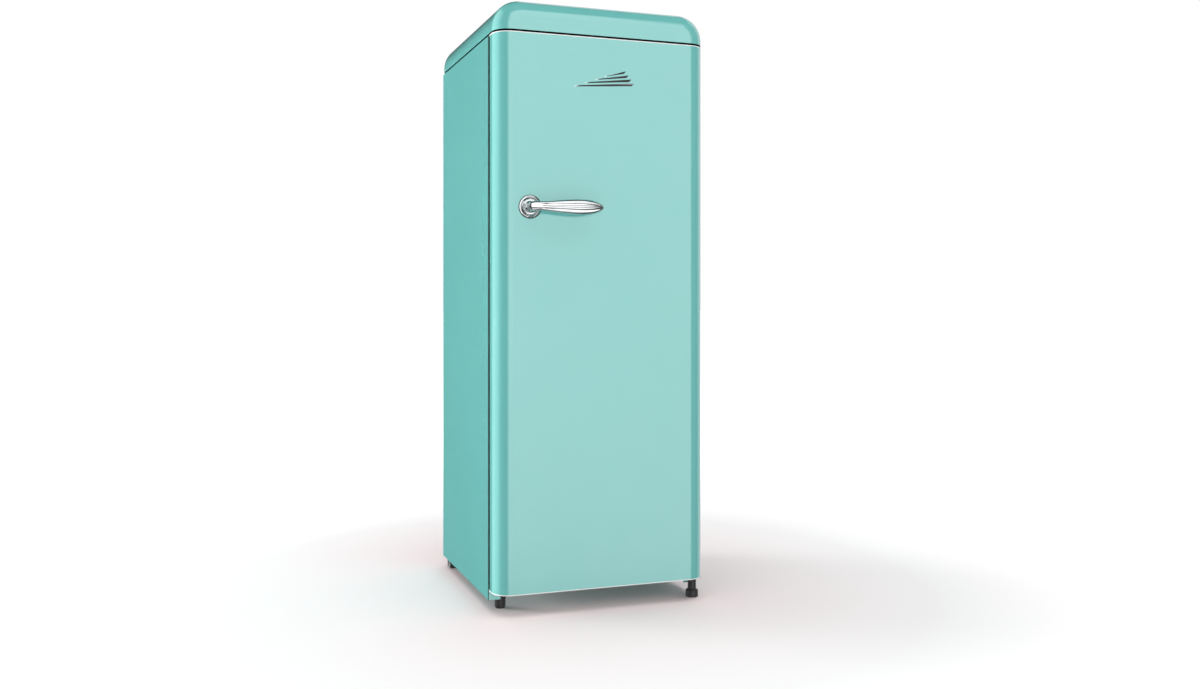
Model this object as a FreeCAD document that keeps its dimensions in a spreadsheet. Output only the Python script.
"""Retro refrigerator with one right-hinged door, an icebox at the top and a fixed rounded top cap.

Millimetres. +Z is up, the door faces -Y and +X is to the right of someone facing it. The origin is
under the middle of the object, on the floor. Depths are first counted from the cabinet's front
plane, where the door gasket seals, and "back(...)" turns such a depth into the frame's own y.
"""
import FreeCAD, Part
import math
import os
import Sketcher
from FreeCAD import Placement, Rotation, Vector

doc = FreeCAD.newDocument("refrigerator")
sheet = doc.addObject("Spreadsheet::Sheet", "Sheet")
AXIS_TURN = {
    "x": Rotation(Vector(0, 1, 0), 90),
    "y": Rotation(Vector(1, 0, 0), -90),
    "z": Rotation(),
}
nodes = []


# ---------------------------------------------------------------- lengths that know their formula
class Length:
    """A length with its number and the formula over the sheet's cells that gives it."""

    def __init__(self, value, formula):
        self.value = float(value)
        self.formula = formula

    def __add__(self, other):
        other = length(other)
        return Length(self.value + other.value, f"({self.formula} + {other.formula})")

    def __radd__(self, other):
        return length(other) + self

    def __sub__(self, other):
        other = length(other)
        return Length(self.value - other.value, f"({self.formula} - {other.formula})")

    def __rsub__(self, other):
        return length(other) - self

    def __mul__(self, factor):
        return Length(self.value * factor, f"({self.formula} * {factor})")

    def __rmul__(self, factor):
        return self * factor

    def __truediv__(self, divisor):
        return Length(self.value / divisor, f"({self.formula} / {divisor})")

    def __neg__(self):
        return Length(-self.value, f"(0 - {self.formula})")


def length(number):
    """The number as a Length, if it isn't one yet."""
    if isinstance(number, Length):
        return number
    return Length(number, f"({number})" if number < 0 else f"{number}")


def cell(alias, number):
    """Put a driving dimension in the sheet and return it as a Length."""
    row = cell.rows + 1
    cell.rows = row
    sheet.set(f"A{row}", alias.replace("_", " "))
    sheet.set(f"B{row}", str(number))
    sheet.setAlias(f"B{row}", alias)
    return Length(number, f"Sheet.{alias}")


cell.rows = 0

# ---------------------------------------------------------------- driving dimensions
width = cell("cabinet_width", 550)
depth = cell("cabinet_depth", 524)
total_height = cell("total_height", 1492)
cabinet_bottom = cell("cabinet_bottom", 31)
pan_raise = cell("base_pan_raise", 9)
door_bottom = cell("door_bottom", 56)
door_thick = cell("door_thickness", 65)
door_gap = cell("door_gap", 10)
cap_height = cell("cap_height", 76)
cap_shoulder = cell("cap_shoulder_radius", 66)
cap_rear_round = cell("cap_rear_radius", 15)
front_round = cell("front_corner_radius", 43)
cap_wall = cell("cap_wall", 2.8)
seam = cell("seam_gap", 5)
steel = cell("sheet_steel", 0.8)
plastic = cell("liner_wall", 2)
air = cell("foam_clearance", 0.2)
side_wall = cell("side_insulation", 50)
rear_wall = cell("rear_insulation", 50)
ceiling_wall = cell("ceiling_insulation", 45)
floor_wall = cell("floor_insulation", 50)
hump_wall = cell("hump_insulation", 40)
flange = cell("front_flange", 30)
rim = cell("liner_rim", 18)
bay_depth = cell("machine_bay_depth", 170)
bay_height = cell("machine_bay_height", 200)
hinge_inset = cell("hinge_inset", 18)
hinge_ahead = cell("hinge_ahead", 38)
pin_radius = cell("hinge_pin_radius", 4)
running = cell("running_clearance", 0.06)
plate = cell("hinge_plate", 3)
door_cap = cell("door_end_cap", 12)
cap_rim = cell("door_end_cap_rim", 2)
gasket_inset = cell("gasket_inset", 19)
gasket_width = cell("gasket_width", 16)
gasket_gap = cell("gasket_clearance", 0.4)
dike_half = cell("dike_half_width", 205)
dike_wide = cell("dike_width", 15)
dike_reach = cell("dike_reach", 30)
dike_low = cell("dike_bottom", 115)
dike_high = cell("dike_top", 1333)
bin_wall = cell("bin_wall", 2.4)
glass = cell("glass_thickness", 4)
shelf_front = cell("shelf_front", 118)
ledge = cell("ledge_width", 10)
ledge_thick = cell("ledge_thickness", 6)
crisper_front = cell("crisper_front", 120)
crisper_wall = cell("crisper_wall", 2.4)
freezer_front = cell("freezer_front", 88)
freezer_half = cell("freezer_half_width", 205)
freezer_low = cell("freezer_floor", 1160)
freezer_high = cell("freezer_ceiling", 1345)
freezer_depth = cell("freezer_depth", 336)
flap_thick = cell("flap_thickness", 16)
flap_hinge = cell("flap_hinge_x", 213)
flap_pin = cell("flap_pin_radius", 2.5)
handle_x = cell("handle_x", -191)
handle_z = cell("handle_height", 990)
handle_reach = cell("handle_reach", 46)
rosette_radius = cell("rosette_radius", 28.5)
lever_tip = cell("lever_tip_x", -15)
emblem_z = cell("emblem_height", 1310)
emblem_long = cell("emblem_length", 156)
emblem_tall = cell("emblem_height_span", 46)
foot_radius = cell("foot_radius", 13.5)
foot_base = cell("foot_base_radius", 16)
stud_radius = cell("foot_stud_radius", 5)
roller_radius = cell("roller_radius", 12)
roller_wide = cell("roller_width", 18)
roller_x = cell("roller_x", 255)
roller_back = cell("roller_back", 490)
axle_radius = cell("axle_radius", 3)
rear_reach = cell("rear_spacer_reach", 32)
coil_off = cell("condenser_stand_off", 20)
coil_radius = cell("condenser_tube_radius", 2.4)
coil_half = cell("condenser_half_width", 170)
coil_pitch = cell("condenser_pitch", 55)
wire_radius = cell("condenser_wire_radius", 0.9)
shell_radius = cell("compressor_radius", 72)
shell_wall = cell("compressor_wall", 3)
shell_x = cell("compressor_x", -90)
shell_back = cell("compressor_back", 440)
shell_low = cell("compressor_bottom", 50)
shell_high = cell("compressor_top", 190)
lamp_x = cell("lamp_housing_reach", 28)
lamp_low = cell("lamp_housing_bottom", 1040)
lamp_tall = cell("lamp_housing_height", 80)
knob_radius = cell("knob_radius", 16)
plunger_radius = cell("plunger_radius", 4)
plunger_x = cell("plunger_x", 120)
plunger_z = cell("plunger_height", 1360)
screw_radius = cell("screw_radius", 2)
head_radius = cell("screw_head_radius", 4)
doc.recompute()

# ---------------------------------------------------------------- places worked out from them
half = width / 2
door_reach = door_thick + door_gap
front_plane = (door_reach + handle_reach - depth - rear_reach) / 2


def back(distance):
    """The y of a plane this far behind the cabinet's front plane."""
    return front_plane + distance


door_front = back(-door_reach)
door_back = back(-door_gap)
rear = back(depth)
cap_bottom = total_height - cap_height
door_top = cap_bottom - seam
cabinet_top = cap_bottom - plate - 1
cavity_half = half - side_wall
cavity_low = cabinet_bottom + floor_wall
cavity_high = cabinet_top - ceiling_wall
pan_low = cabinet_bottom + pan_raise
cavity_back = depth - rear_wall
bay_front = depth - bay_depth
bay_top = cabinet_bottom + bay_height
hump_front = bay_front - hump_wall
hump_top = bay_top + hump_wall
hinge_x = half - hinge_inset
hinge_y = back(-hinge_ahead)
right_foot_x = half - 16.5
right_foot_y = back(-24)
left_foot_x = 40 - half
left_foot_y = back(40)
lamp_face = cavity_half - lamp_x


# ---------------------------------------------------------------- building blocks
def bind(thing, **sizes):
    """Bind properties to formulas over the sheet; two underscores stand for a dot."""
    for path, size in sizes.items():
        thing.setExpression(path.replace("__", "."), length(size).formula)
    return thing


def put(thing, x=0, y=0, z=0):
    """Place an object, with its base bound to the sheet."""
    return bind(thing, Placement__Base__x=x, Placement__Base__y=y, Placement__Base__z=z)


def box(x, y, z, name="block"):
    """A block between (low, high) pairs."""
    block = doc.addObject("Part::Box", name)
    bind(block, Length=length(x[1]) - x[0], Width=length(y[1]) - y[0], Height=length(z[1]) - z[0])
    return put(block, x[0], y[0], z[0])


def rod(centre, axis, radius, long, name="rod"):
    """A cylinder that starts at centre and runs along +x, +y or +z."""
    bar = doc.addObject("Part::Cylinder", name)
    bar.Placement = Placement(Vector(), AXIS_TURN[axis])
    bind(bar, Radius=radius, Height=long)
    return put(bar, *centre)


def fuse(parts, name="joined"):
    union = doc.addObject("Part::MultiFuse", name)
    union.Shapes = parts
    union.Refine = True
    return union


def group(parts, name="set"):
    """Separate solids that are one kind of piece."""
    together = doc.addObject("Part::Compound", name)
    together.Links = parts
    return together


def cut(base, tools, name="cut"):
    """The base without the tools."""
    result = doc.addObject("Part::Cut", name)
    result.Base = base
    result.Tool = tools[0] if len(tools) == 1 else fuse(tools, name + "_tools")
    return result


def node(label, thing):
    """Name a finished sub-part."""
    thing.Label = label
    if thing.Label != label:
        raise RuntimeError(f"{label} is already the name of another object")
    nodes.append(thing)
    return thing


def new_body(name):
    return doc.addObject("PartDesign::Body", name)


def plane_of(body, role):
    """One of the body's own origin planes."""
    return next(item for item in body.Origin.OriginFeatures if item.Role == role)


def new_sketch(body, role, offset=0):
    """An empty sketch on an origin plane of the body, moved along the plane's normal."""
    sketch = body.newObject("Sketcher::SketchObject", "sketch")
    sketch.AttachmentSupport = [(plane_of(body, role), "")]
    sketch.MapMode = "FlatFace"
    bind(sketch, AttachmentOffset__Base__z=offset)
    return sketch


def bind_point(sketch, geometry, corner, point):
    """Hold a point of the sketch at two lengths from the sketch's origin."""
    for kind, place in (("DistanceX", point[0]), ("DistanceY", point[1])):
        place = length(place)
        index = sketch.addConstraint(Sketcher.Constraint(kind, geometry, corner, place.value))
        sketch.setExpression(f"Constraints[{index}]", place.formula)


def draw_outline(sketch, corners):
    """A closed outline of straight lines through the corners."""
    points = [Vector(length(a).value, length(b).value, 0) for a, b in corners]
    count = len(points)
    first = sketch.GeometryCount
    for index, start in enumerate(points):
        sketch.addGeometry(Part.LineSegment(start, points[(index + 1) % count]), False)
    for index in range(count):
        following = first + (index + 1) % count
        sketch.addConstraint(Sketcher.Constraint("Coincident", first + index, 2, following, 1))
    for index, corner in enumerate(corners):
        bind_point(sketch, first + index, 1, corner)
    return sketch


def draw_rectangle(sketch, a, b):
    return draw_outline(sketch, [(a[0], b[0]), (a[1], b[0]), (a[1], b[1]), (a[0], b[1])])


def draw_circle(sketch, centre, radius):
    radius = length(radius)
    middle = Vector(length(centre[0]).value, length(centre[1]).value, 0)
    index = sketch.addGeometry(Part.Circle(middle, Vector(0, 0, 1), radius.value), False)
    bind_point(sketch, index, 3, centre)
    held = sketch.addConstraint(Sketcher.Constraint("Radius", index, radius.value))
    sketch.setExpression(f"Constraints[{held}]", radius.formula)
    return sketch


def pad(body, sketch, long, midplane=False, reverse=False):
    feature = body.newObject("PartDesign::Pad", "pad")
    feature.Profile = sketch
    feature.Midplane = midplane
    feature.Reversed = reverse
    bind(feature, Length=long)
    return feature


def pocket(body, sketch, long, midplane=False, reverse=False):
    """A pocket that is checked to have taken material away."""
    doc.recompute()
    before = body.Shape.Volume
    feature = body.newObject("PartDesign::Pocket", "pocket")
    feature.Profile = sketch
    feature.Midplane = midplane
    feature.Reversed = reverse
    bind(feature, Length=long)
    doc.recompute()
    if body.Shape.Volume > before - 1:
        raise RuntimeError(f"{body.Name}: a pocket takes nothing away")
    return feature


def edges_where(shape, test):
    return [f"Edge{i + 1}" for i, edge in enumerate(shape.Edges) if test(edge)]


def fillet(body, test, radius):
    """Round the body's edges that pass the test."""
    doc.recompute()
    base = body.Tip
    names = edges_where(base.Shape, test)
    feature = body.newObject("PartDesign::Fillet", "fillet")
    feature.Base = (base, names)
    bind(feature, Radius=radius)
    doc.recompute()
    return feature


def hollow_out(body, open_face, wall):
    """Turn the body into a shell of this wall, open where the faces pass the test."""
    doc.recompute()
    base = body.Tip
    names = [f"Face{i + 1}" for i, face in enumerate(base.Shape.Faces) if open_face(face.BoundBox)]
    feature = body.newObject("PartDesign::Thickness", "hollow")
    feature.Base = (base, names)
    feature.Reversed = True
    bind(feature, Value=wall)
    doc.recompute()
    return feature


def runs_along(edge, axis):
    """Whether an edge is straight and along the axis."""
    if edge.Curve.TypeId != "Part::GeomLine":
        return False
    return abs(getattr(edge.Curve.Direction, axis)) > 0.999


def middle_of(edge):
    return edge.CenterOfMass


def near(a, b, room=0.01):
    return abs(a - length(b).value) < room


def block_body(name, x, y, z):
    """A body padded up from a rectangle."""
    body = new_body(name)
    sketch = draw_rectangle(new_sketch(body, "XY_Plane", z[0]), x, y)
    pad(body, sketch, length(z[1]) - z[0])
    return body


def tray(name, x, y, z, wall, corner):
    """An open-topped tray with rounded upright corners and walls of even thickness."""
    body = block_body(name, x, y, z)
    fillet(body, lambda edge: runs_along(edge, "z"), corner)
    hollow_out(body, lambda extent: near(extent.ZMin, z[1]), wall)
    return body


def turned(name, corners, place=(0, 0, 0), axis="z"):
    """A body turned from an outline of (radius, height) corners about its own axis."""
    body = new_body(name)
    sketch = draw_outline(new_sketch(body, "XZ_Plane"), corners)
    feature = body.newObject("PartDesign::Revolution", "turned")
    feature.Profile = sketch
    feature.ReferenceAxis = (sketch, ["V_Axis"])
    feature.Angle = 360
    body.Placement = Placement(Vector(), AXIS_TURN[axis])
    put(body, *place)
    return body


def bent_path(points, radius):
    """A wire of straight runs joined by tangent arcs, as wide as the runs allow."""
    edges = []
    last = points[0]
    for index in range(1, len(points) - 1):
        corner = points[index]
        before = points[index - 1] - corner
        after = points[index + 1] - corner
        turn = math.pi - before.getAngle(after)
        room = 0.499 * min(before.Length, after.Length)
        reach = min(radius * math.tan(turn / 2), room)
        start = corner + before.normalize() * reach
        end = corner + after.normalize() * reach
        bow = (before + after).normalize()
        arc_radius = reach / math.tan(turn / 2)
        top = corner + bow * (arc_radius / math.cos(turn / 2) - arc_radius)
        if (start - last).Length > 0.01:
            edges.append(Part.makeLine(last, start))
        edges.append(Part.Arc(start, top, end).toShape())
        last = end
    edges.append(Part.makeLine(last, points[-1]))
    return Part.Wire(edges)


def tube(name, places, radius, bend):
    """A bent tube through places given as lengths; its sizes are read from the sheet here."""
    points = [Vector(*(length(part).value for part in place)) for place in places]
    path = bent_path(points, bend)
    profile = Part.Wire(Part.makeCircle(length(radius).value, points[0], points[1] - points[0]))
    feature = doc.addObject("Part::Feature", name)
    feature.Shape = path.makePipeShell([profile], True, True)
    feature.Placement = Placement()
    return feature


def mirror_x(x):
    """The same span on the other side of the middle."""
    return (-length(x[1]), -length(x[0]))


def screws_at(places, axis, long, head=1.6, sign=1):
    """Screws with their heads at the places and their shanks beyond, along the axis or against it."""
    step = "xyz".index(axis)
    items = []
    for place in places:
        head_at = list(place)
        shank_at = list(place)
        if sign > 0:
            shank_at[step] = length(place[step]) + head
        else:
            head_at[step] = length(place[step]) - head
            shank_at[step] = length(place[step]) - head - long
        parts = [rod(head_at, axis, head_radius, head), rod(shank_at, axis, screw_radius, long)]
        items.append(fuse(parts))
    return items


# ---------------------------------------------------------------- cabinet shell
def side_panel(label, left):
    """One folded steel side: the flat, a flange at the front and a lip at the back."""
    lip = 12
    outline = [(-half, front_plane), (-half + flange, front_plane),
               (-half + flange, front_plane + steel), (-half + steel, front_plane + steel),
               (-half + steel, rear - steel), (-half + lip, rear - steel), (-half + lip, rear),
               (-half, rear)]
    if not left:
        outline = [(-length(x), y) for x, y in reversed(outline)]
    body = new_body(label)
    sketch = draw_outline(new_sketch(body, "XY_Plane", cabinet_bottom), outline)
    pad(body, sketch, cabinet_top - steel - cabinet_bottom)
    side = -half if left else half

    def folded_corner(edge):
        middle = middle_of(edge)
        return runs_along(edge, "z") and near(middle.x, side) and near(middle.y, front_plane)

    fillet(body, folded_corner, steel)
    node(label, body)


def cabinet_shell():
    """The steel sheets between the two sides: top, base pan, back, machine bay and its rail."""
    inside = (-half + steel, half - steel)
    between = (-half + flange, half - flange)
    face = (front_plane, front_plane + steel)
    rim_gap = rim + 1
    top = box(inside, (face[1], rear), (cabinet_top - steel, cabinet_top))
    top_face = box(between, face, (cavity_high + rim_gap, cabinet_top))
    node("cabinet_top_panel", fuse([top, top_face]))

    insert_tall = 12
    pan = box(inside, (face[1], back(bay_front)), (pan_low, pan_low + steel))
    pan_face = box(between, face, (pan_low, cavity_low - rim_gap))
    foot_insert = rod((left_foot_x, left_foot_y, pan_low), "z", foot_insert_radius, insert_tall)
    foot_hole = rod((left_foot_x, left_foot_y, pan_low - 1), "z", stud_radius + running, insert_tall + 2)
    node("base_pan", cut(fuse([pan, pan_face, foot_insert]), [foot_hole]))

    node("rear_panel", box(inside, (rear - steel * 2, rear - steel), (bay_top, cabinet_top - steel)))

    upright = box(inside, (back(bay_front), back(bay_front) + steel), (cabinet_bottom + 3, bay_top))
    ceiling = box(inside, (back(bay_front), rear - steel * 2), (bay_top - steel, bay_top))
    drain_hole = rod((drain_x, drain_y, bay_top - 2), "z", drain_radius, 4)
    node("machine_bay_panel", cut(fuse([upright, ceiling]), [drain_hole]))

    rail = box(inside, (back(bay_front) + 2, rear - 1), (cabinet_bottom, rail_top))
    bolt_holes = [rod((x, y, cabinet_bottom - 1), "z", grommet_bolt, 4) for x, y in grommet_places()]
    node("compressor_rail", cut(rail, bolt_holes))


def foam_block():
    """The foamed-in-place insulation between the steel shell and the liner."""
    skin = steel + air
    beyond = 10
    block = box((-half + skin, half - skin), (front_plane + skin, rear - steel * 2 - air),
                (pan_low + skin, cabinet_top - skin))
    liner_room = box((-cavity_half - plastic - air, cavity_half + plastic + air),
                     (front_plane - beyond, back(cavity_back) + plastic + air),
                     (cavity_low - plastic - air, cavity_high + plastic + air))
    hump = box((-cavity_half - beyond, cavity_half + beyond),
               (back(hump_front) + plastic + air, back(cavity_back) + beyond),
               (cavity_low - beyond, hump_top - plastic - air))
    rim_room = box((-cavity_half - rim, cavity_half + rim),
                   (front_plane - beyond, front_plane + plastic + air), (cavity_low - rim, cavity_high + rim))
    bay = box((-half, half), (back(bay_front) - air, rear), (cabinet_bottom, bay_top + air))
    drain = rod((drain_x, drain_y, bay_top - 2), "z", drain_radius + air, hump_wall + 6)
    foot_room = rod((left_foot_x, left_foot_y, cabinet_bottom), "z", foot_insert_radius + 1, 26)
    food_room = cut(liner_room, [hump])
    node("foam_insulation", cut(block, [food_room, rim_room, bay, drain, foot_room]))


def inner_liner():
    """The white liner: flat panels joined into a stepped box with a rim round its mouth, and its rails."""
    inner_x = (-cavity_half, cavity_half)
    outer_x = (-cavity_half - plastic, cavity_half + plastic)
    behind_rim = front_plane + plastic
    step_y = back(hump_front)
    back_y = back(cavity_back)
    under = cavity_low - plastic
    over = cavity_high + plastic
    under_step = hump_top - plastic

    floor_panel = box(inner_x, (behind_rim, step_y), (under, cavity_low))
    riser = box(outer_x, (step_y, step_y + plastic), (under, under_step))
    step_panel = box(inner_x, (step_y, back_y), (under_step, hump_top))
    drain_hole = rod((drain_x, drain_y, hump_top - 5), "z", drain_radius - 2, 10)
    back_panel = box(inner_x, (back_y, back_y + plastic), (under_step, over))
    ceiling_panel = box(inner_x, (behind_rim, back_y), (cavity_high, over))
    panels = [floor_panel, riser, cut(step_panel, [drain_hole]), back_panel, ceiling_panel]

    wall_x = (-cavity_half - plastic, -cavity_half)
    rim_x = (-cavity_half - rim, -cavity_half)
    rim_y = (front_plane, behind_rim)
    for wall_span, rim_span in ((wall_x, rim_x), (mirror_x(wall_x), mirror_x(rim_x))):
        panels.append(box(wall_span, (behind_rim, step_y), (under, over)))
        panels.append(box(wall_span, (step_y, back_y + plastic), (under_step, over)))
        panels.append(box(rim_span, rim_y, (cavity_low - rim, cavity_high + rim)))
    panels.append(box(inner_x, rim_y, (cavity_low - rim, cavity_low)))
    panels.append(box(inner_x, rim_y, (cavity_high, cavity_high + rim)))
    node("inner_liner", group(panels))

    rails = []
    rail_x = (-cavity_half, -cavity_half + ledge)
    for height in shelf_heights + [cover_height]:
        for span in (rail_x, mirror_x(rail_x)):
            rails.append(box(span, (back(shelf_front), shelf_back), (height - ledge_thick, height)))
    node("shelf_rails", group(rails))


def top_cap():
    """The painted cap: rounded shoulders, a soft front contour and a tighter rear one."""
    body = new_body("top_cap")
    sketch = draw_rectangle(new_sketch(body, "XZ_Plane", -rear), (-half, half), (cap_bottom, total_height))
    pad(body, sketch, depth + door_reach)
    fillet(body, lambda edge: runs_along(edge, "y") and near(middle_of(edge).z, total_height), cap_shoulder)

    def contour(y):
        def test(edge):
            extent = edge.BoundBox
            on_plane = near(extent.YMin, y) and near(extent.YMax, y)
            at_foot = near(extent.ZMin, cap_bottom) and near(extent.ZMax, cap_bottom)
            return on_plane and not at_foot
        return test

    fillet(body, contour(door_front), front_round)
    fillet(body, contour(rear), cap_rear_round)
    hollow_out(body, lambda extent: near(extent.ZMax, cap_bottom, 0.1), cap_wall)
    node("top_cap", body)

    base = block_body("cap_floor", (-half + cap_wall + air, half - cap_wall - air),
                      (door_front + cap_wall + air, rear - cap_wall - air), (cap_bottom, cap_bottom + 3))
    for y, radius in ((door_front, front_round), (rear, cap_rear_round)):
        def corner(edge, y=y):
            return runs_along(edge, "z") and abs(middle_of(edge).y - y.value) < cap_wall.value + 1
        fillet(base, corner, radius - cap_wall)

    strip = 12
    inset = 7
    hinge_room = 52
    wide = (-half + inset, half - inset)
    seal_back = rear - 1
    seal_z = (cabinet_top, cap_bottom)
    left = box((wide[0], wide[0] + strip), (front_plane + strip, seal_back), seal_z)
    right = box((wide[1] - strip, wide[1]), (back(hinge_room + 14), seal_back), seal_z)
    behind = box(wide, (seal_back - strip, seal_back), seal_z)
    front = box((wide[0], half - hinge_room), (front_plane, front_plane + strip), seal_z)
    node("cap_base", fuse([base, left, right, behind, front]))


# ---------------------------------------------------------------- hinges, feet and rollers
def top_hinge():
    """A plate on the cabinet's top with a pin down into the door; returns its screws."""
    plate_x = (half - 48, half - 4)
    top_plate = box(plate_x, (back(-52), back(62)), (cabinet_top, cabinet_top + plate))
    pin_low = door_top - door_cap + 2
    pin = rod((hinge_x, hinge_y, pin_low), "z", pin_radius, cabinet_top - pin_low + 1)
    places = [(half - 38, back(20)), (half - 14, back(20)), (half - 26, back(46))]
    holes = [rod((x, y, cabinet_top - 1), "z", head_radius, plate + 2) for x, y in places]
    node("top_hinge_bracket", fuse([cut(top_plate, holes), pin]))
    return screws_at([(x, y, cabinet_top + plate) for x, y in places], "z", 8, plate, sign=-1)


def bottom_hinge():
    """An angle on the cabinet's front that carries the door and the right foot; returns its screws."""
    shelf_top = door_bottom - 0.6
    shelf_low = shelf_top - plate - 0.5
    wall = 3
    low_plate = box((half - 44, half - 3), (back(-52), front_plane), (shelf_low, shelf_top))
    back_plate = box((half - 62, half - 3), (back(-wall), front_plane), (pan_low + 1, shelf_top))
    pin = rod((hinge_x, hinge_y, shelf_low + 1), "z", pin_radius, door_cap + plate - 2)
    stud_hole = rod((right_foot_x, right_foot_y, shelf_low - 1), "z", stud_radius + running, plate + 3)
    screw_z = pan_low + 6.5
    places = [(x, screw_z) for x in (half - 54, half - 34, half - 12)]
    holes = [rod((x, back(-wall - 1), z), "y", screw_radius, wall + 2) for x, z in places]
    bracket = cut(fuse([low_plate, back_plate]), [stud_hole] + holes)
    node("bottom_hinge_bracket", fuse([bracket, pin]))
    head = 1.6
    return screws_at([(x, back(-wall - head), z) for x, z in places], "y", 12, head)


def hinge_bushes():
    """Plastic sleeves in the door's two end caps, running on the hinge pins."""
    bushes = []
    for low in (door_top - door_cap, door_bottom):
        sleeve = rod((hinge_x, hinge_y, low), "z", bush_radius, door_cap)
        bore = rod((hinge_x, hinge_y, low - 1), "z", pin_radius + running, door_cap + 2)
        bushes.append(cut(sleeve, [bore]))
    node("hinge_bushes", group(bushes))


def feet():
    """Screw-in levelling feet: a plain one on the left and a flanged one under the lower hinge."""
    tall = cabinet_bottom - 0.4
    ring = foot_radius + 1.5
    thread = 20
    left = [(0, 0), (foot_radius - 2, 0), (foot_radius, 3), (foot_radius, 24), (ring, 25), (ring, tall),
            (stud_radius, tall), (stud_radius, tall + thread), (0, tall + thread)]
    node("left_front_foot", turned("left_foot", left, (left_foot_x, left_foot_y, 0)))

    stem = 10.5
    stem_top = 47
    stud_top = door_bottom - 1
    right = [(0, 0), (foot_base - 2, 0), (foot_base, 2), (foot_base, 17), (foot_base - 2, 19), (stem, 19),
             (stem, stem_top), (stud_radius, stem_top), (stud_radius, stud_top), (0, stud_top)]
    node("right_front_foot", turned("right_foot", right, (right_foot_x, right_foot_y, 0)))


def rear_rollers():
    """Two fixed rollers let the back of the cabinet roll when the front is lifted."""
    cheek = 2
    cheek_low = 5
    cheek_half = 11
    edge = 1.5
    inner = roller_wide / 2 + 1
    outer = inner + cheek
    place_y = back(roller_back)
    deep = (place_y - cheek_half, place_y + cheek_half)
    bore = axle_radius + running
    outline = [(bore, 0), (roller_radius - edge, 0), (roller_radius, edge),
               (roller_radius, roller_wide - edge), (roller_radius - edge, roller_wide), (bore, roller_wide)]
    brackets = []
    for side, x in (("left", -roller_x), ("right", roller_x)):
        cheeks = [box((low, low + cheek), deep, (cheek_low, cabinet_bottom))
                  for low in (x - outer, x + inner)]
        bridge = box((x - inner, x + inner), deep, (cabinet_bottom - cheek, cabinet_bottom))
        axle_hole = rod((x - outer - 1, place_y, roller_radius), "x", axle_radius, (outer + 1) * 2)
        axle = rod((x - outer - 2, place_y, roller_radius), "x", axle_radius, (outer + 2) * 2)
        brackets.append(fuse([cut(fuse(cheeks + [bridge]), [axle_hole]), axle]))
        wheel = turned(f"{side}_wheel", outline, (x - roller_wide / 2, place_y, roller_radius), "x")
        node(f"{side}_rear_roller", wheel)
    node("rear_roller_brackets", group(brackets))


# ---------------------------------------------------------------- door
def rounded_door_block(name, inset, y, z):
    """A door-shaped block whose two front uprights are rounded."""
    body = block_body(name, (-half + inset, half - inset), y, z)
    fillet(body, lambda edge: runs_along(edge, "z") and near(middle_of(edge).y, y[0]), front_round - inset)
    return body


def door_skin():
    """The folded steel face and sides, open at the back and at both ends."""
    skin = rounded_door_block("skin", 0, (door_front, door_back), (door_bottom + cap_rim, door_top - cap_rim))

    def open_side(extent):
        flat_back = near(extent.YMin, door_back) and near(extent.YMax, door_back)
        flat_end = near(extent.ZLength, 0)
        return flat_back or flat_end

    hollow_out(skin, open_side, steel)
    stud_hole = rod((handle_x, door_front - 2, handle_z), "y", handle_stud, 6)
    node("door_skin", cut(skin, [stud_hole]))


def door_end_caps():
    """White mouldings that close the door's ends. Their rims show as a thin line round the steel."""
    inside = steel + 0.05
    ends = (door_front + inside, door_back - plastic)
    lip_back = back(-5.5)
    tab_wide = 12
    tab_tall = 20
    hinge_spot = (hinge_x, hinge_y)
    spare_spot = (-hinge_x, hinge_y)
    caps = []
    for at_top in (False, True):
        def up(low, high):
            """A span of heights counted inwards from this end of the door."""
            return (door_top - high, door_top - low) if at_top else (door_bottom + low, door_bottom + high)

        rim_plate = rounded_door_block("door_end_rim", 0, (door_front, door_back), up(0, cap_rim))
        end = rounded_door_block("door_end", inside, ends, up(0, door_cap))
        lip = box((-half + inside, half - inside), (ends[1], lip_back), up(0, end_lip))
        tab = box((-half + inside, -half + inside + tab_wide), (door_back, back(-2.5)), up(0, tab_tall))
        low = up(0, door_cap)[0]
        bush_hole = rod((*hinge_spot, low - 1), "z", bush_radius, door_cap + 2)
        plug_groove = rod((*spare_spot, low - 1), "z", bush_radius, door_cap + 2)
        plug = rod((*spare_spot, low + 0.6), "z", bush_radius - 0.4, door_cap - 1.2)
        caps.append(cut(fuse([rim_plate, end, lip, tab]), [bush_hole, cut(plug_groove, [plug])]))
    node("door_end_caps", group(caps))


def door_core():
    """The foam in the door, and the plate, stud and nut that hold the handle."""
    foam = rounded_door_block("foam", steel + air, (door_front + steel + air, door_back - plastic - air),
                              (door_bottom + door_cap + air, door_top - door_cap - air))
    backing = 44
    face = door_front + steel

    def square(half_size):
        return ((handle_x - half_size, handle_x + half_size), (handle_z - half_size, handle_z + half_size))

    room = square(backing / 2 + 1)
    pocket_room = box(room[0], (door_front, door_front + 16), room[1])
    node("door_foam", cut(foam, [pocket_room]))

    plate_span = square(backing / 2)
    stiffener = box(plate_span[0], (face + 0.05, face + 1.2), plate_span[1])
    stiffener_hole = rod((handle_x, door_front - 2, handle_z), "y", handle_stud, 8)
    stud = rod((handle_x, door_front - 5, handle_z), "y", handle_stud, 12)
    nut = rod((handle_x, face + 1.2, handle_z), "y", handle_stud * 2, 5)
    node("handle_fixings", group([cut(stiffener, [stiffener_hole]), fuse([stud, nut])]))


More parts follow.
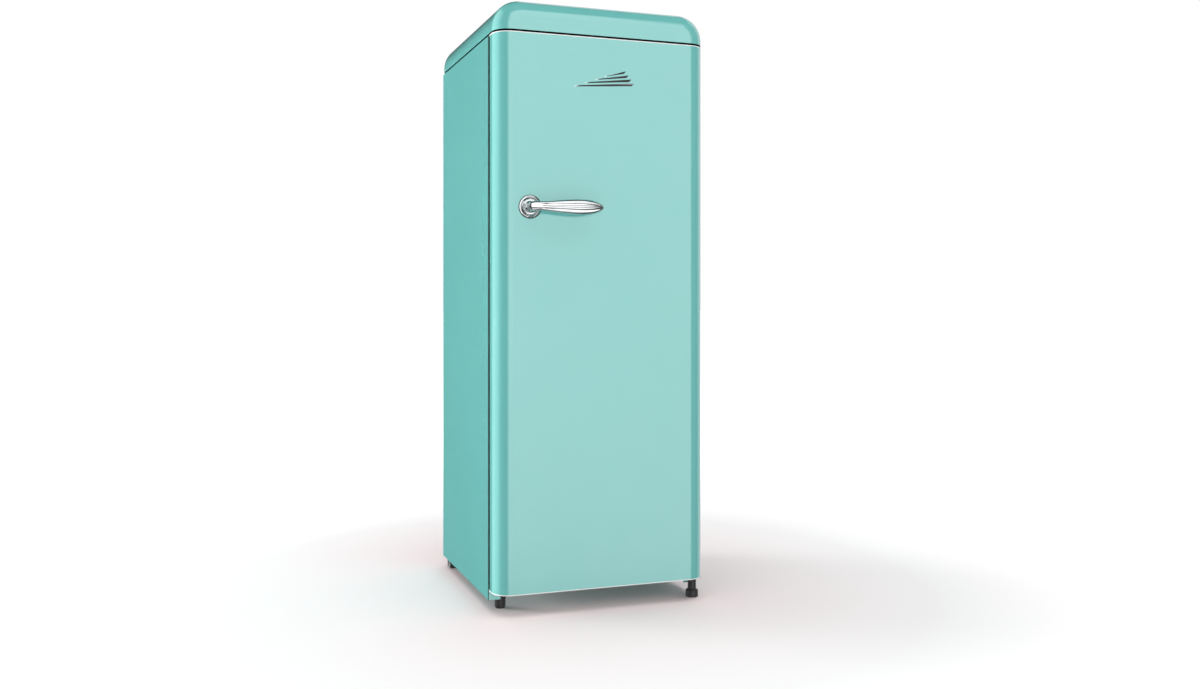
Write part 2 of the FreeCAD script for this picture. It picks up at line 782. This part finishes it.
def door_liner():
    """The white inner skin: a flat sheet and a raised ring that the bins hang between."""
    inset = steel + 0.05
    sheet_block = box((-half + inset, half - inset), (door_back - plastic, door_back),
                      (door_bottom + end_lip + air, door_top - end_lip - air))
    deep = back(dike_reach)

    def frame_span(shrink):
        """The raised ring's outline, made smaller all round."""
        return ((-dike_half + shrink, dike_half - shrink), (dike_low + shrink, dike_high - shrink))

    def ring_block(shrink, y):
        x, z = frame_span(shrink)
        return box(x, y, z)

    ring = cut(ring_block(0, (door_back - 0.5, deep)), [ring_block(dike_wide, (door_back, deep + 1))])
    hollow_outer = ring_block(plastic, (door_back - plastic - 1, deep - plastic))
    hollow_middle = ring_block(dike_wide - plastic, (door_back - plastic - 2, deep))
    node("door_liner", cut(fuse([sheet_block, ring]), [cut(hollow_outer, [hollow_middle])]))


def door_gasket():
    """A magnetic gasket: a wide base with a narrower sealing bulb on it, mitred into one frame."""
    x_out = half - gasket_inset
    z_out = (door_bottom + gasket_inset, door_top - gasket_inset)
    base_thick = 4
    step = 2.5

    def ring(shrink, y):
        outer = box((-x_out + shrink, x_out - shrink), y, (z_out[0] + shrink, z_out[1] - shrink))
        band = gasket_width - shrink
        inner = box((-x_out + band, x_out - band), (y[0] - 1, y[1] + 1), (z_out[0] + band, z_out[1] - band))
        return cut(outer, [inner])

    base_face = door_back + base_thick
    base = ring(0, (door_back, base_face))
    bulb = ring(step, (base_face, back(-gasket_gap)))
    node("door_gasket", fuse([base, bulb]))


def door_bins():
    """Bins between the raised sides of the door liner; the top one is shallow, before the icebox."""
    half_wide = dike_half - dike_wide - 1.5

    def hang_bin(low, tall, reach):
        y = (door_back + 0.5, back(reach))
        return tray("bin", (-half_wide, half_wide), y, (low, low + tall), bin_wall, 8)

    node("bottle_bin", hang_bin(bottle_bin_low, 120, 92))
    jar_bins = [hang_bin(low, 88, 80) for low in jar_bin_lows]
    node("door_bins", group(jar_bins + [hang_bin(packet_bin_low, 70, 46)]))


def handle():
    """A round rosette, a domed hub and a tapered lever that stands off the door."""
    bore = handle_stud + 0.2
    edge = rosette_radius
    steps = [(bore, 0), (edge, 0), (edge, 2.5), (edge - 3, 5.5), (edge - 6, 5.5), (edge - 7, 4),
             (edge - 10, 4), (edge - 11, 5), (bore, 5)]
    rosette = turned("rosette", [(radius, -length(rise)) for radius, rise in reversed(steps)],
                     (handle_x, door_front, handle_z), "y")
    node("handle_rosette", rosette)

    lever_deep = 11
    lever_y = door_front - handle_reach + lever_deep
    hub_high = handle_reach - lever_deep - 4
    dome = [(0, 5), (15, 5), (14, 11), (10, 17), (8, hub_high), (0, hub_high)]
    hub = turned("hub", [(radius, -length(rise)) for radius, rise in reversed(dome)],
                 (handle_x, door_front, handle_z), "y")
    # Share of the way from hub to tip, then half the height and half the depth there.
    stations = [(-0.07, 3, 2.5), (-0.05, 8, 6), (0.02, 11.5, 8), (0.15, 13, 8.5), (0.38, 16, 9.5),
                (0.62, 19.5, lever_deep), (0.8, 17, 9.5), (0.92, 11, 7), (0.985, 5, 3.5), (1.0, 1.6, 1.2)]
    sections = []
    for share, half_tall, half_deep in stations:
        oval = doc.addObject("Part::Ellipse", "oval")
        oval.MajorRadius = half_tall
        oval.MinorRadius = half_deep
        oval.Placement = Placement(Vector(), Rotation(Vector(0, 1, 0), -90))
        put(oval, handle_x + (lever_tip - handle_x) * share, lever_y, handle_z)
        sections.append(oval)
    lever = doc.addObject("Part::Loft", "lever")
    lever.Sections = sections
    lever.Solid = True
    node("handle_lever", fuse([hub, lever]))


def emblem():
    """A generic ornament without lettering: a swept wing of four feathers, the lowest the longest."""
    thick = 2.2
    tail = 1.2
    feather = 7
    shares = (1.0, 0.78, 0.56, 0.36)
    step = (emblem_tall - feather) / len(shares)
    feathers = []
    for index, share in enumerate(shares):
        right = emblem_long / 2 - feather * index
        left = right - emblem_long * share
        low = emblem_z - emblem_tall / 2 + step * index
        high = low + step
        outline = [(left, low), (right - feather, high), (right, high + feather),
                   (left + feather * 2, low + feather / 2), (left, low + tail)]
        body = new_body("feather")
        pad(body, draw_outline(new_sketch(body, "XZ_Plane", -door_front + 0.02), outline), thick)
        feathers.append(body)
    node("door_emblem", group(feathers))


# ---------------------------------------------------------------- food compartment
def shelves():
    """Glass panes on the liner's rails, each with a clipped-on front trim."""
    wide = cavity_half - 3
    front = back(shelf_front)
    lip = 2.5
    panes = []
    trims = []
    for height in shelf_heights + [cover_height]:
        top = height + glass
        panes.append(box((-wide, wide), (front, shelf_back), (height, top)))
        bar = box((-wide, wide), (front - 6, front + 6), (height - lip, top + lip))
        slot = box((-wide - 1, wide + 1), (front, front + 7), (height, top))
        end_span = (-wide - 1, -wide + ledge - 1)
        rail_rooms = [box(span, (front - 0.5, front + 7), (height - lip - 0.5, height))
                      for span in (end_span, mirror_x(end_span))]
        trims.append(cut(bar, [slot] + rail_rooms))
    node("glass_shelves", group(panes))
    node("shelf_trims", group(trims))


def crisper():
    """The vegetable drawer under the lowest glass, in front of the hump over the machine bay."""
    wide = cavity_half - 13
    span = (back(crisper_front), back(hump_front) - 6)
    node("crisper_drawer", tray("drawer", (-wide, wide), span, (cavity_low + 0.5, cover_height - 9),
                                crisper_wall, 12))


def icebox():
    """The freezer compartment: a plastic box, the evaporator wrapped round it, a front frame."""
    low = freezer_low
    high = freezer_high
    rear_face = frame_back + freezer_depth

    def sleeve(grow, y):
        """A block this much bigger than the compartment all round."""
        return box((-freezer_half - grow, freezer_half + grow), y, (low - grow, high + grow))

    wall = 2
    compartment = sleeve(0, (frame_back - 1, rear_face))
    node("freezer_box", cut(sleeve(wall, (frame_back, rear_face + wall)), [compartment]))
    node("evaporator_plate", cut(sleeve(wall + 1.4, (frame_back + 12, rear_face - 6)),
                                 [sleeve(wall + 0.1, (frame_back + 10, rear_face))]))

    frame_front = back(freezer_front)
    frame_out = cavity_half - 0.5
    frame_low = low - 22
    through = (frame_front - 1, frame_back + 1)
    frame = box((-frame_out, frame_out), (frame_front, frame_back), (frame_low, cavity_high - 0.5))
    mouth = box((-freezer_half, freezer_half), through, (low, high))
    corner = 13
    corner_span = (-cavity_half, -cavity_half + corner)
    corners = [box(span, through, (cavity_high - corner, cavity_high))
               for span in (corner_span, mirror_x(corner_span))]
    lug_y = (frame_front - 26, frame_front)
    lug_x = (flap_hinge - 8, flap_hinge + 8)
    lugs = [box(lug_x, lug_y, lug_z)
            for lug_z in ((flap_high + 1.5, flap_high + 9), (flap_low - 9, flap_low - 1.5))]
    bores = [rod((flap_hinge, flap_axis_y, z), "z", flap_pin + running, 12)
             for z in (flap_high, flap_low - 12)]
    node("freezer_frame", cut(fuse([cut(frame, [mouth] + corners)] + lugs), bores))

    base_half = cavity_half - 2
    foam_under = box((-base_half, base_half), (frame_back, rear_face), (frame_low, low - 4))
    node("freezer_floor_insulation", foam_under)


def icebox_flap():
    """The icebox's own little door: a hollow front with a grip and pins, and a cover behind."""
    x = (-freezer_half - 9, flap_hinge + 4)
    y = (flap_axis_y, flap_axis_y + flap_thick)
    z = (flap_low, flap_high)
    wall = 2

    def within(shrink, y_span):
        return box((x[0] + shrink, x[1] - shrink), y_span, (z[0] + shrink, z[1] - shrink))

    shell = cut(within(0, y), [within(wall, (y[0] + wall, y[1] + 1))])
    middle_z = (flap_low + flap_high) / 2
    grip = box((x[0] + 12, x[0] + 26), (flap_axis_y - 9, flap_axis_y), (middle_z - 32, middle_z + 32))
    pins = [rod((flap_hinge, flap_axis_y, start), "z", flap_pin, 9)
            for start in (flap_high - 1, flap_low - 8)]
    node("freezer_flap", fuse([shell, grip] + pins))
    node("freezer_flap_cover", within(wall + air, (y[1] - wall, y[1])))


def thermostat_and_lamp():
    """One housing on the right wall: the thermostat with its knob in front, the lamp behind."""
    start = 140
    split = 206
    end = 280
    wall = 2
    high = lamp_low + lamp_tall
    outer_x = (lamp_face, cavity_half - 0.3)

    def cover(y):
        outer = box(outer_x, y, (lamp_low, high))
        inner = box((lamp_face + wall, cavity_half), (y[0] + wall, y[1] - wall),
                    (lamp_low + wall, high - wall))
        return cut(outer, [inner])

    shaft = 3
    knob_y = back(start + 33)
    knob_z = lamp_low + lamp_tall / 2
    shaft_hole = rod((lamp_face - 1, knob_y, knob_z), "x", shaft + running, wall + 2)
    node("thermostat_housing", cut(cover((back(start), back(split))), [shaft_hole]))
    node("lamp_cover", cover((back(split) + 0.1, back(end))))

    switch_x = lamp_face + 13
    thermostat = box((switch_x, cavity_half - 1), (knob_y - 15, knob_y + 15), (knob_z - 20, knob_z + 20))
    bore = rod((switch_x - 1, knob_y, knob_z), "x", shaft + running, 8)
    knob_long = 14
    shaft_end = knob_long + 16
    knob = [(0, 0), (knob_radius - 2, 0), (knob_radius - 1, 1), (knob_radius, knob_long),
            (shaft, knob_long), (shaft, shaft_end), (0, shaft_end)]
    node("thermostat_knob", turned("knob", knob, (lamp_face - knob_long - 0.4, knob_y, knob_z), "x"))

    lamp_x = lamp_face + 14
    holder_y = back(split) + 6
    holder_long = 16
    socket = rod((lamp_x, holder_y, knob_z), "y", 9, holder_long)
    node("thermostat_and_lamp_socket", group([cut(thermostat, [bore]), socket]))
    glass_bulb = [(0, 0), (6, 0), (6, 4), (9.5, 12), (10.5, 22), (8, 31), (4, 35), (0, 36)]
    node("lamp_bulb", turned("bulb", glass_bulb, (lamp_x, holder_y + holder_long, knob_z), "y"))


def light_switch():
    """The switch under the liner's ceiling, whose plunger the closed door holds in."""
    case_half = 12
    case = box((plunger_x - case_half, plunger_x + case_half), (back(12), back(52)),
               (plunger_z - 8, cavity_high - 0.2))
    way = rod((plunger_x, back(11), plunger_z), "y", plunger_radius + running, 36)
    node("light_switch", cut(case, [way]))
    plunger_long = 46
    outline = [(0, 0), (plunger_radius - 1, 0), (plunger_radius, 1), (plunger_radius, plunger_long),
               (0, plunger_long)]
    node("light_switch_plunger", turned("plunger", outline, (plunger_x, door_back + 0.4, plunger_z), "y"))


# ---------------------------------------------------------------- cooling machinery
def grommet_places():
    """Where the compressor stands on its four rubber mounts."""
    return [(shell_x + dx, shell_y + dy)
            for dx in (-grommet_x, grommet_x) for dy in (-grommet_y, grommet_y)]


def compressor():
    """A welded can with the pump inside, standing on a foot plate."""
    rounding = 34
    weld_reach = 3
    weld_tall = 4

    def can(name, shrink):
        body = new_body(name)
        sketch = draw_circle(new_sketch(body, "XY_Plane", shell_low + shrink), (shell_x, shell_y),
                             shell_radius - shrink)
        pad(body, sketch, shell_high - shell_low - 2 * length(shrink))
        fillet(body, lambda edge: edge.Curve.TypeId == "Part::GeomCircle", rounding - length(shrink))
        return body

    shell = cut(can("outer_can", length(0)), [can("inner_can", shell_wall)])
    weld_z = (shell_low + shell_high) / 2 + 8
    weld_outer = rod((shell_x, shell_y, weld_z), "z", shell_radius + weld_reach, weld_tall)
    weld_inner = rod((shell_x, shell_y, weld_z - 1), "z", shell_radius - 1, weld_tall + 2)
    beam_x = (shell_x - grommet_x - 12, shell_x + grommet_x + 12)
    beams = [box(beam_x, (shell_y + dy - 12, shell_y + dy + 12), (foot_plate_low, shell_low))
             for dy in (-grommet_y, grommet_y)]
    saddle = box((shell_x - 30, shell_x + 30), (shell_y - grommet_y, shell_y + grommet_y),
                 (foot_plate_low, shell_low + 1))
    eyes = [rod((x, y, foot_plate_low - 1), "z", grommet_neck, 5) for x, y in grommet_places()]
    foot_plate = cut(fuse(beams + [saddle]), eyes)
    node("compressor_shell", fuse([shell, cut(weld_outer, [weld_inner]), foot_plate]))
    node("compressor_pump", rod((shell_x, shell_y, shell_low + 24), "z", 50, 92))


def compressor_mounts():
    """Rubber grommets under the foot plate; returns the bolts through them."""
    wide = 12
    head = 5.5
    cap_top = shell_low + 6
    bolt_top = shell_low + 10
    bolt_low = cabinet_bottom - 4
    grommets = []
    bolts = []
    for x, y in grommet_places():
        rubber = [(grommet_bolt, rail_top), (wide, rail_top), (wide, foot_plate_low),
                  (grommet_neck, foot_plate_low), (grommet_neck, shell_low), (wide - 1, shell_low),
                  (wide - 1, cap_top), (grommet_bolt, cap_top)]
        bolt = [(0, bolt_low), (head, bolt_low), (head, cabinet_bottom), (grommet_bolt, cabinet_bottom),
                (grommet_bolt, bolt_top), (0, bolt_top)]
        grommets.append(turned("grommet", rubber, (x, y, 0)))
        bolts.append(turned("bolt", bolt, (x, y, 0)))
    node("compressor_grommets", group(grommets))
    return bolts


def machine_bay():
    """What stands round the compressor: its relay, the meltwater tray and drain, the power inlet."""
    relay = box((shell_x + 62, shell_x + 104), (shell_y - 28, shell_y + 28), (90, 150))
    can_room = rod((shell_x, shell_y, 80), "z", shell_radius + 3.2, 80)
    node("relay_cover", cut(relay, [can_room]))

    dish = tray("dish", (shell_x - 60, shell_x + 60), (shell_y - 52, shell_y + 52),
                (shell_high + 0.2, shell_high + 26), 2, 10)
    node("evaporation_tray", dish)
    pipe_low = shell_high + 12
    pipe = rod((drain_x, drain_y, pipe_low), "z", drain_radius, hump_top - plastic - pipe_low)
    way = rod((drain_x, drain_y, pipe_low - 1), "z", drain_radius - 2, hump_top)
    node("drain_tube", cut(pipe, [way]))

    box_x = (150, 214)
    box_back = rear - 14
    terminal = box(box_x, (rear - 62, box_back), (rail_top + 0.2, rail_top + 48))
    socket = [(4, 0), (9, 0), (9, 3), (6.5, 4), (5.5, 12), (4, 12)]
    socket_x = (box_x[0] + box_x[1]) / 2
    gland = turned("gland", socket, (socket_x, box_back, rail_top + 24), "y")
    node("power_inlet", fuse([terminal, gland]))


def condenser():
    """A serpentine tube with upright wires across the back, held off the wall by spacers."""
    runs = 19
    turn_x = coil_half + coil_pitch / 2
    places = [(discharge_x + discharge_end + 0.2, coil_y, coil_low)]
    side = 1
    for index in range(runs - 1):
        level = coil_low + coil_pitch * index
        places.append((turn_x * side, coil_y, level))
        places.append((turn_x * side, coil_y, level + coil_pitch))
        side = -side
    last = coil_low + coil_pitch * (runs - 1)
    places.append((coil_half, coil_y, last))
    node("condenser_coil", tube("coil", places, coil_radius, coil_pitch.value / 2))
    above = last + coil_pitch
    return_places = [(coil_half + 0.2, coil_y, last), (turn_x, coil_y, last), (turn_x, coil_y, above),
                     (return_x, coil_y, above), (return_x, coil_y, drier_top + 0.2)]
    return_run = tube("return_run", return_places, coil_radius, coil_pitch.value / 2)

    count = 18
    spacing = coil_half * 2 / (count - 1)
    wire_y = coil_y + coil_radius + wire_radius
    wires = [rod((-coil_half + spacing * index, wire_y, coil_low - 12), "z", wire_radius,
                 coil_pitch * (runs - 1) + 24) for index in range(count)]
    strap_y = (coil_y - coil_radius - 2, coil_y - coil_radius)
    spacer_x = (half - 53, half - 33)
    straps = []
    spacers = []
    for z in (coil_low + coil_pitch, coil_low + coil_pitch * (runs - 2)):
        straps.append(box((-spacer_x[0], spacer_x[0]), strap_y, (z - 9, z + 9)))
        for span in (spacer_x, mirror_x(spacer_x)):
            spacers.append(box(span, (rear - steel, rear + rear_reach), (z - 13, z + 13)))
    node("condenser_wires", group(wires + straps))
    node("wall_spacers", group(spacers))
    return return_run


def refrigerant_lines(return_run):
    """The pipes of the machine bay, the run back down the wall, and the filter drier it drains into."""
    drier_long = 100
    neck = 3
    belly = 8
    drier = [(0, 0), (neck, 0), (belly, 8), (belly, drier_long - 8), (neck, drier_long), (0, drier_long)]
    node("filter_drier", turned("drier", drier, (return_x, coil_y, drier_top - drier_long)))

    bay_ceiling = bay_top - steel - 0.1
    can_side = shell_y + shell_radius * math.cos(math.radians(30)) + 0.8
    discharge_places = [(discharge_x, can_side, 150), (discharge_x, coil_y, 150),
                        (discharge_x, coil_y, coil_low), (discharge_x + discharge_end, coil_y, coil_low)]
    discharge = tube("discharge", discharge_places, coil_radius, 20)
    drier_foot = drier_top - drier_long - 0.2
    inlet_y = rear - 40
    capillary = tube("capillary", [(return_x, coil_y, drier_foot), (return_x, coil_y, 100),
                                   (return_x, inlet_y, 100), (return_x, inlet_y, bay_ceiling)], 1.2, 14)
    suction_start = shell_x - shell_radius - 0.2
    suction_x = suction_start - 44
    suction = tube("suction", [(suction_start, shell_y, 110), (suction_x, shell_y, 110),
                               (suction_x, shell_y, bay_ceiling)], 3.2, 20)
    node("refrigerant_lines", group([discharge, return_run, capillary, suction]))


def fasteners(others):
    """Every screw and bolt of the cabinet, in one node."""
    heights = (bay_top + 30, (bay_top + cabinet_top) / 2, cabinet_top - 30)
    places = [(x, rear + 1.6, z) for x in (-half + 7, half - 7) for z in heights]
    node("cabinet_screws", group(screws_at(places, "y", 4, sign=-1) + others))


# ---------------------------------------------------------------- the whole refrigerator
foot_insert_radius = 9
bush_radius = pin_radius + 3
handle_stud = 3
end_lip = 14
shelf_heights = [length(z) for z in (520, 740, 950)]
shelf_back = back(cavity_back) - 14
cover_height = hump_top + 9
bottle_bin_low = 132
jar_bin_lows = (430, 680, 920)
packet_bin_low = 1180
frame_back = back(freezer_front + 6)
flap_low = freezer_low - 8
flap_high = freezer_high + 4
flap_axis_y = back(freezer_front - flap_thick - 2)
shell_y = back(shell_back)
drain_x = shell_x + 10
drain_y = shell_y
drain_radius = 6
rail_top = cabinet_bottom + 2
foot_plate_low = shell_low - 3
grommet_x = 72
grommet_y = 52
grommet_bolt = 3
grommet_neck = 8
coil_y = rear + coil_off
coil_low = bay_top + 60
discharge_x = shell_x + shell_radius / 2
discharge_end = 24
return_x = -coil_half - coil_pitch / 2 - 15
drier_top = bay_top + 0.8

cabinet_shell()
side_panel("left_side_panel", True)
side_panel("right_side_panel", False)
foam_block()
inner_liner()
top_cap()
hinge_screws = top_hinge() + bottom_hinge()
hinge_bushes()
feet()
rear_rollers()
door_skin()
door_end_caps()
door_core()
door_liner()
door_gasket()
door_bins()
handle()
emblem()
shelves()
crisper()
icebox()
icebox_flap()
thermostat_and_lamp()
light_switch()
compressor()
compressor_bolts = compressor_mounts()
machine_bay()
refrigerant_lines(condenser())
fasteners(hinge_screws + compressor_bolts)
doc.recompute()

# ---------------------------------------------------------------- check and write
for item in doc.Objects:
    if "Invalid" in item.State or "Error" in item.State:
        owners = [owner.Label for owner in item.InList]
        raise RuntimeError(f"{item.Label} of {owners} failed: {item.State}")
os.makedirs("parts", exist_ok=True)
for item in nodes:
    if item.Shape.isNull() or not item.Shape.isValid():
        raise RuntimeError(f"{item.Label} has no valid shape")
    item.Shape.exportStep(f"parts/{item.Label}.step")
print(len(nodes), "sub-parts written")
